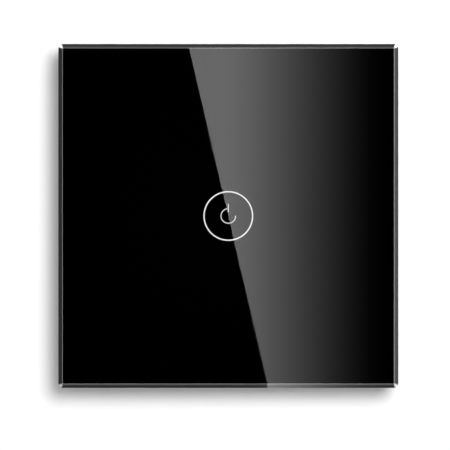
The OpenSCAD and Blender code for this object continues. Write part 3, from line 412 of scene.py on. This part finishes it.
# Each lamp: its place, size and power, and its turn about its own axis
LAMPS = (
    ("key", (0.34, -1.2, 0.36), 0.74, 18.5, math.radians(45)),
    ("back_light", (-0.7, 1.1, 0.7), 0.9, 11.0, 0.0),
    ("right_light", (1.25, 0.2, 0.3), 0.6, 7.0, 0.0),
    ("left_light", (-1.25, 0.2, 0.3), 0.6, 5.0, 0.0),
    ("top_light", (0.1, 0.2, 1.3), 0.6, 6.5, 0.0),
    ("low_light", (0.0, 0.2, -1.3), 0.6, 4.0, 0.0),
)


def mesh_object(name, points, faces):
    mesh = bpy.data.meshes.new(name)
    mesh.from_pydata([Vector(p) for p in points], [], faces)
    mesh.update()
    obj = bpy.data.objects.new(name, mesh)
    SCENE.collection.objects.link(obj)
    return obj


def seen_by(tree):
    """1 for rays from the camera, mirrors and glass, 0 for those that light rough surfaces."""
    path = tree.add("LightPath")
    seen = tree.math("MAXIMUM", path.outputs["Is Camera Ray"], path.outputs["Is Glossy Ray"])
    return tree.math("MAXIMUM", seen, path.outputs["Is Transmission Ray"])


def make_wall():
    """A white wall cut out for the housing. It shows from the front only, so the part's back shows too, and
    throws no light back on the part."""
    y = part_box("mounting_plate")[1].y - WALL_SINK
    cut_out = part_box("inner_cover")[1].z + WALL_GAP
    points = [(sx * half, y, sz * half) for half in (WALL_HALF, cut_out) for sx, sz in SQUARE]
    sides = len(SQUARE)
    following = [(k + 1) % sides for k in range(sides)]
    wall = mesh_object("wall", points, [(k, n, sides + n, sides + k) for k, n in enumerate(following)])
    mat = bpy.data.materials.new("wall_paint")
    t = Tree(mat)
    paint = t.add("BsdfDiffuse")
    t.feed(paint.inputs["Color"], grey(WALL_LEVEL))
    lift = t.add("Emission")
    t.feed(lift.inputs["Strength"], t.math("MULTIPLY", seen_by(t), WALL_LIFT))
    both = t.add("AddShader")
    t.feed(both.inputs[0], paint.outputs[0])
    t.feed(both.inputs[1], lift.outputs[0])
    back = t.add("NewGeometry").outputs["Backfacing"]
    side = t.add("MixShader")
    t.feed(side.inputs[0], t.math("MAXIMUM", back, t.add("LightPath").outputs["Is Diffuse Ray"]))
    t.feed(side.inputs[1], both.outputs[0])
    t.feed(side.inputs[2], t.add("BsdfTransparent").outputs[0])
    t.feed(t.add("OutputMaterial").inputs[0], side.outputs[0])
    wall.data.materials.append(mat)
    wall.visible_shadow = False


def make_world():
    """White to the eye and through glass. Mirrors see a row of slanted panes of light before the wall, dimmer
    low down, and white behind it."""
    world = bpy.data.worlds.new("studio")
    SCENE.world = world
    t = Tree(world)
    x, y, z = t.split(t.add("TexCoord").outputs["Generated"])
    along = t.math("DIVIDE", t.math("MULTIPLY_ADD", z, PANE_SLANT, x), PANE_PITCH)
    pane = t.math("POWER", t.math("SUBTRACT", 1.0, t.math("FRACT", along)), PANE_FALL)
    height = t.span(z, PANES_LOW, PANES_HIGH, -PANES_RISE, PANES_RISE)
    before = t.math("MULTIPLY", height, t.math("MULTIPLY_ADD", pane, PANE_LIGHT, PANE_GAP))
    in_mirrors = t.math("MAXIMUM", before, t.span(y, 0.0, 1.0, BEHIND_START, BEHIND_END))
    path = t.add("LightPath")
    plain = t.math("MAXIMUM", path.outputs["Is Camera Ray"], path.outputs["Is Transmission Ray"])
    level = t.mix(path.outputs["Is Glossy Ray"], grey(WORLD_FILL), in_mirrors)
    sky = t.add("Background")
    t.feed(sky.inputs["Color"], t.mix(plain, level, grey(1.0)))
    t.feed(t.add("OutputWorld").inputs[0], sky.outputs[0])


def make_lamp(name, place, size, power, turn):
    """A square soft box aimed at the panel, which lights it but doesn't show in mirrors."""
    data = bpy.data.lights.new(name, "AREA")
    data.shape = "SQUARE"
    data.size = size
    data.energy = power
    obj = bpy.data.objects.new(name, data)
    SCENE.collection.objects.link(obj)
    obj.location = place
    obj.rotation_euler = (-Vector(place)).to_track_quat("-Z", "Y").to_euler()
    obj.rotation_euler.rotate_axis("Z", turn)
    obj.visible_camera = obj.visible_glossy = obj.visible_transmission = False


def card(name, points, strength):
    """A studio card that only shows in mirrors and glass. strength is a number, or a function that makes one
    from the card's tree and the place on it."""
    obj = mesh_object(name, points, [tuple(range(len(points)))])
    mat = bpy.data.materials.new(name)
    t = Tree(mat)
    light = t.add("Emission")
    level = strength(t, t.add("TexCoord").outputs["Object"]) if callable(strength) else strength
    t.feed(light.inputs["Strength"], level)
    t.feed(t.add("OutputMaterial").inputs[0], light.outputs[0])
    obj.data.materials.append(mat)
    obj.visible_camera = obj.visible_diffuse = obj.visible_shadow = obj.visible_volume_scatter = False


# Camera

VIEW_DISTANCE = 1.0
VIEW_WIDTH = 0.11370
VIEW_X, VIEW_Z = -0.84 * MM, -2.29 * MM
SENSOR_WIDTH = 36.0
CLIP_START, CLIP_END = 0.01, 20.0
GLASS_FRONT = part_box("glass_panel")[0].y


def make_camera():
    """Level, a little below and left of the panel's middle, with a long lens."""
    data = bpy.data.cameras.new("camera")
    data.sensor_width = SENSOR_WIDTH
    data.lens = SENSOR_WIDTH * VIEW_DISTANCE / VIEW_WIDTH
    data.clip_start, data.clip_end = CLIP_START, CLIP_END
    obj = bpy.data.objects.new("camera", data)
    SCENE.collection.objects.link(obj)
    obj.location = (VIEW_X, GLASS_FRONT - VIEW_DISTANCE, VIEW_Z)
    obj.rotation_euler = (math.pi / 2, 0, 0)
    SCENE.camera = obj


# What the glass mirrors

FLAG_DISTANCE, FLAG_HALF = 2.2, 0.45
WINDOW_DISTANCE, WINDOW_LIGHT = 2.1, 3.35
# The window and its fade as they show on the glass, measured from the middle of the panel
WINDOW_SLANT = -0.2335
WINDOW_HALF_Z = 50 * MM
WINDOW_RIGHT = 48 * MM
FADE_START, FADE_END = -0.6 * MM, 42.7 * MM
FADE_BEND, FADE_POWER = 1.3, 2.7
# A start so far left that all of a card is lit
ALL_LIT = -1.0
# The ground edges of the glass: a bevel, with an arris between it and the face, and cut corners
BEVEL_WIDTH, BEVEL_DEPTH = 0.75 * MM, 1.0 * MM
ARRIS_WIDTH, ARRIS_DEPTH = 0.4 * MM, 0.18 * MM
CORNER_CUT = 0.8 * MM
# How far each ground edge's strip lights stand along the mirrored ray, and half of their length
BEVEL_TRAVEL, ARRIS_TRAVEL = 16.5 * MM, 0.65
BEVEL_HALF, ARRIS_HALF, CORNER_HALF = 46 * MM, 90 * MM, 3 * MM

# Each strip: the way to its edge in x and z, where it starts and ends in from that edge in mm and its light.
# Where the window shows in it too: the window's light, where that starts in mm and how steeply it falls
BEVEL_START, BEVEL_END = -3.0, 3.8
ARRIS_START, ARRIS_END = -1.0, 2.6
BEVEL_STRIPS = (
    ("left", (-1, 0), BEVEL_START, BEVEL_END, 0.37),
    ("right", (1, 0), BEVEL_START, BEVEL_END, 1.08),
    ("top", (0, 1), BEVEL_START, BEVEL_END, 0.54),
    ("low", (0, -1), BEVEL_START, BEVEL_END, 0.38, 3.7, 9.8, 2.3),
)
ARRIS_STRIPS = (
    ("left_outer", (-1, 0), ARRIS_START, 1.02, 0.5),
    ("left_inner", (-1, 0), 1.02, ARRIS_END, 5.4),
    ("right_outer", (1, 0), ARRIS_START, 0.9, 1.7),
    ("right_inner", (1, 0), 0.9, ARRIS_END, 6.4),
    ("top_outer", (0, 1), ARRIS_START, 1.06, 2.1),
    ("top_inner", (0, 1), 1.06, ARRIS_END, 4.3, 9.0, -10.0, 1.15),
    ("low_outer", (0, -1), ARRIS_START, 1.0, 1.95, 6.5, 9.8, 2.3),
    ("low_inner", (0, -1), 1.0, ARRIS_END, 4.0, 12.0, 9.8, 2.3),
)
CORNER_STRIPS = (
    ("top_left", (-1, 1), 15.0),
    ("top_right", (1, 1), 15.0),
    ("low_left", (-1, -1), 6.0),
    ("low_right", (1, -1), 10.0),
)


def mirrored(x, z, distance):
    """The point at this distance before the glass that shows at (x, z) on it."""
    k = distance / VIEW_DISTANCE
    return (x + (x - VIEW_X) * k, GLASS_FRONT - distance, z + (z - VIEW_Z) * k)


def fading(t, x, distance, from_x, power):
    """1 at the fade's start on the glass, falling to 0 at its end, and 0 left of from_x, for a card that far
    along the mirrored ray."""
    k = distance / VIEW_DISTANCE
    start, end, edge = (v + (v - VIEW_X) * k for v in (FADE_START, FADE_END, from_x))
    run = t.math("POWER", t.span(x, 0.0, 1.0, start, end), FADE_BEND)
    fall = t.math("POWER", t.math("SUBTRACT", 1.0, run), power)
    return t.math("MULTIPLY", fall, t.math("GREATER_THAN", x, edge))


def window_light(t, place):
    shown = fading(t, t.split(place)[0], WINDOW_DISTANCE, ALL_LIT, FADE_POWER)
    return t.math("MULTIPLY", shown, WINDOW_LIGHT)


def edge_strip(name, side, arris, start, end, half_length, level, extra=0.0, from_x=0.0, power=1.0):
    """A strip light where the camera sees one ground edge mirrored, from start to end in from the panel's
    edge. side points from the middle of the panel to that edge in x and z, and extra is light where the
    window also shows."""
    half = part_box("glass_panel")[1]
    out = Vector((side[0], 0, side[1])).normalized()
    cut = CORNER_CUT / 2 if side[0] and side[1] else 0.0
    if arris:
        width, depth, travel = ARRIS_WIDTH, ARRIS_DEPTH, ARRIS_TRAVEL
        inner, front = BEVEL_WIDTH + ARRIS_WIDTH, 0.0
    else:
        width, depth, travel = BEVEL_WIDTH, BEVEL_DEPTH, BEVEL_TRAVEL
        inner, front = BEVEL_WIDTH, ARRIS_DEPTH
    normal = (out * depth + Vector((0, -width, 0))).normalized()
    along = Vector((0, 1, 0)).cross(out) * half_length
    edges = []
    for inset in (start, end):
        at = Vector((side[0] * (half.x - cut), 0, side[1] * (half.z - cut))) - out * inset
        at.y = GLASS_FRONT + front + (inner - inset) * depth / width
        edges.append(at + (at - SCENE.camera.location).normalized().reflect(normal) * travel)

    def light(t, place):
        return t.math("MULTIPLY_ADD", fading(t, t.split(place)[0], travel, from_x, power), extra, level)

    a, b = edges
    card(name, [a - along, a + along, b + along, b - along], light if extra else level)


def make_cards():
    """For the glass's face a black flag, and before it a window with a slanted left edge whose light falls
    away to the right; for its ground edges and cut corners strip lights."""
    y = GLASS_FRONT - FLAG_DISTANCE
    card("flag", [(sx * FLAG_HALF, y, sz * FLAG_HALF) for sx, sz in SQUARE], 0.0)
    top, low = WINDOW_HALF_Z, -WINDOW_HALF_Z
    corners = [(WINDOW_SLANT * low, low), (WINDOW_RIGHT, low), (WINDOW_RIGHT, top), (WINDOW_SLANT * top, top)]
    card("window", [mirrored(x, z, WINDOW_DISTANCE) for x, z in corners], window_light)
    straight = (("bevel", BEVEL_STRIPS, BEVEL_HALF), ("arris", ARRIS_STRIPS, ARRIS_HALF))
    for kind, strips, half_length in straight:
        for name, side, start, end, level, *window in strips:
            extra, from_x, power = window or (0.0, 0.0, 1.0)
            edge_strip(f"{kind}_{name}", side, kind == "arris", start * MM, end * MM, half_length, level,
                       extra, from_x * MM, power)
    for name, side, level in CORNER_STRIPS:
        edge_strip("corner_" + name, side, False, BEVEL_START * MM, BEVEL_END * MM, CORNER_HALF, level)
        edge_strip("corner_arris_" + name, side, True, ARRIS_START * MM, ARRIS_END * MM, CORNER_HALF, level)


# Pieces

WIRE = 0.6 * MM
SPRING_TURNS = 4
TURN_STEPS = 56
WIRE_SIDES = 14

WELD = 0.002 * MM
FLAT, SHARP = math.radians(0.5), math.radians(35)
RIM_SHARE = 0.9
RIM_SEGMENTS, RIM_PROFILE = 3, 0.5
# Each moulding: its node, its body and the radius of its edges in mm
MOULDINGS = (
    ("panel_frame", "panel", 0.35),
    ("mounting_plate", "base", 0.3),
    ("rear_housing", "base", 0.6),
    ("inner_cover", "base", 0.4),
    ("relay_case", "base", 0.4),
    ("suppression_capacitor", "base", 0.4),
    ("terminal_block", "base", 0.3),
    ("transformer_core", "base", 0.2),
    ("relay_base", "base", 0.2),
)

PRINT_BITE = 0.012 * MM


def make_spring():
    """The sensing spring, one swept round wire with straight ends."""
    lo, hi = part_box("touch_spring")
    radius = (hi.x - lo.x) / 2 - WIRE / 2
    back, front = hi.y, lo.y
    first, last = back - WIRE, front + WIRE
    path = [Vector((radius, back, 0))]
    steps = SPRING_TURNS * TURN_STEPS
    for k in range(steps + 1):
        a = 2 * math.pi * k / TURN_STEPS
        y = first + (last - first) * k / steps
        path.append(Vector((radius * math.cos(a), y, radius * math.sin(a))))
    path.append(Vector((radius, front, 0)))
    points, faces = [], []
    for k, at in enumerate(path):
        ahead = (path[min(k + 1, len(path) - 1)] - path[max(k - 1, 0)]).normalized()
        out = Vector((at.x, 0, at.z)).normalized()
        side = ahead.cross(out).normalized()
        out = side.cross(ahead)
        for s in range(WIRE_SIDES):
            a = 2 * math.pi * s / WIRE_SIDES
            points.append(at + (out * math.cos(a) + side * math.sin(a)) * (WIRE / 2))
    for k in range(len(path) - 1):
        for s in range(WIRE_SIDES):
            a, b = k * WIRE_SIDES + s, k * WIRE_SIDES + (s + 1) % WIRE_SIDES
            faces.append((a, b, b + WIRE_SIDES, a + WIRE_SIDES))
    faces.append(tuple(reversed(range(WIRE_SIDES))))
    faces.append(tuple(range(len(points) - WIRE_SIDES, len(points))))
    obj = mesh_object("touch_spring_wire", points, faces)
    for face in obj.data.polygons:
        face.use_smooth = len(face.vertices) == 4
    obj.data.materials.append(FINISHES["plated_spring"])
    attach(obj, "base")
    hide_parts("touch_spring")


def outline_edges(bm, box, radius):
    """The sharp edges round the outline of a piece's front and back, and those that run back from its square
    corners."""
    lo, hi = box
    middle = (lo + hi) / 2
    sharp = [e for e in bm.edges if e.is_convex and e.calc_face_angle() > SHARP]
    rim = set()
    for y in (lo.y, hi.y):
        face = {v: v.co - middle for v in bm.verts if abs(v.co.y - y) < WELD}
        half_x = RIM_SHARE * max(p.x for p in face.values())
        half_z = RIM_SHARE * max(p.z for p in face.values())
        outline = {v for v, p in face.items() if abs(p.x) > half_x or abs(p.z) > half_z}
        corners = {v for v, p in face.items() if abs(p.x) > half_x and abs(p.z) > half_z}
        for edge in sharp:
            a, b = edge.verts
            runs_back = abs(a.co.y - b.co.y) > radius
            if outline.issuperset((a, b)) or (runs_back and corners.intersection((a, b))):
                rim.add(edge)
    return [e for e in sharp if e in rim]


def make_copy(node, body, name, radius, smooth_below):
    """A welded copy of a piece, with the edges of its outline rounded where it has a radius. Edges sharper
    than smooth_below stay crisp."""
    bm = bmesh.new()
    bm.from_mesh(NODES[node].data)
    bmesh.ops.remove_doubles(bm, verts=bm.verts, dist=WELD)
    bmesh.ops.dissolve_limit(bm, angle_limit=FLAT, verts=bm.verts, edges=bm.edges)
    if radius:
        bmesh.ops.bevel(bm, geom=outline_edges(bm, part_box(node), radius), offset=radius, offset_type="OFFSET",
                        segments=RIM_SEGMENTS, profile=RIM_PROFILE, affect="EDGES", clamp_overlap=False)
        bmesh.ops.remove_doubles(bm, verts=bm.verts, dist=WELD)
    for face in bm.faces:
        face.smooth = True
    for edge in bm.edges:
        edge.smooth = edge.is_manifold and edge.calc_face_angle() < smooth_below
    mesh = bpy.data.meshes.new(name)
    bm.to_mesh(mesh)
    bm.free()
    obj = bpy.data.objects.new(name, mesh)
    SCENE.collection.objects.link(obj)
    even = obj.modifiers.new("flat_faces", "WEIGHTED_NORMAL")
    even.keep_sharp = True
    mesh.materials.append(FINISHES[NODE_SLOTS[node]])
    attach(obj, body)
    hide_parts(node)


def bond_to_glass(node):
    """Lets a print bite a hair's breadth into the glass, so that no two faces lie in one plane and no film of
    air shows between them."""
    shift = NODES[node].modifiers.new("print_bite", "DISPLACE")
    shift.direction = "Y"
    shift.mid_level = 0.0
    shift.strength = -PRINT_BITE


make_camera()
make_wall()
make_world()
make_cards()
for name, place, size, power, turn in LAMPS:
    make_lamp(name, place, size, power, turn)
make_spring()
# The glass is copied for the weld alone: its own mesh has faces without area at the corners
make_copy("glass_panel", "panel", "glass_plate", radius=0.0, smooth_below=0.0)
for node, body, radius in MOULDINGS:
    make_copy(node, body, node + "_moulding", radius * MM, smooth_below=SHARP)
for node in ("back_print", "lit_marks"):
    bond_to_glass(node)
for node, obj in NODES.items():
    obj.data.materials.clear()
    obj.data.materials.append(FINISHES[NODE_SLOTS[node]])
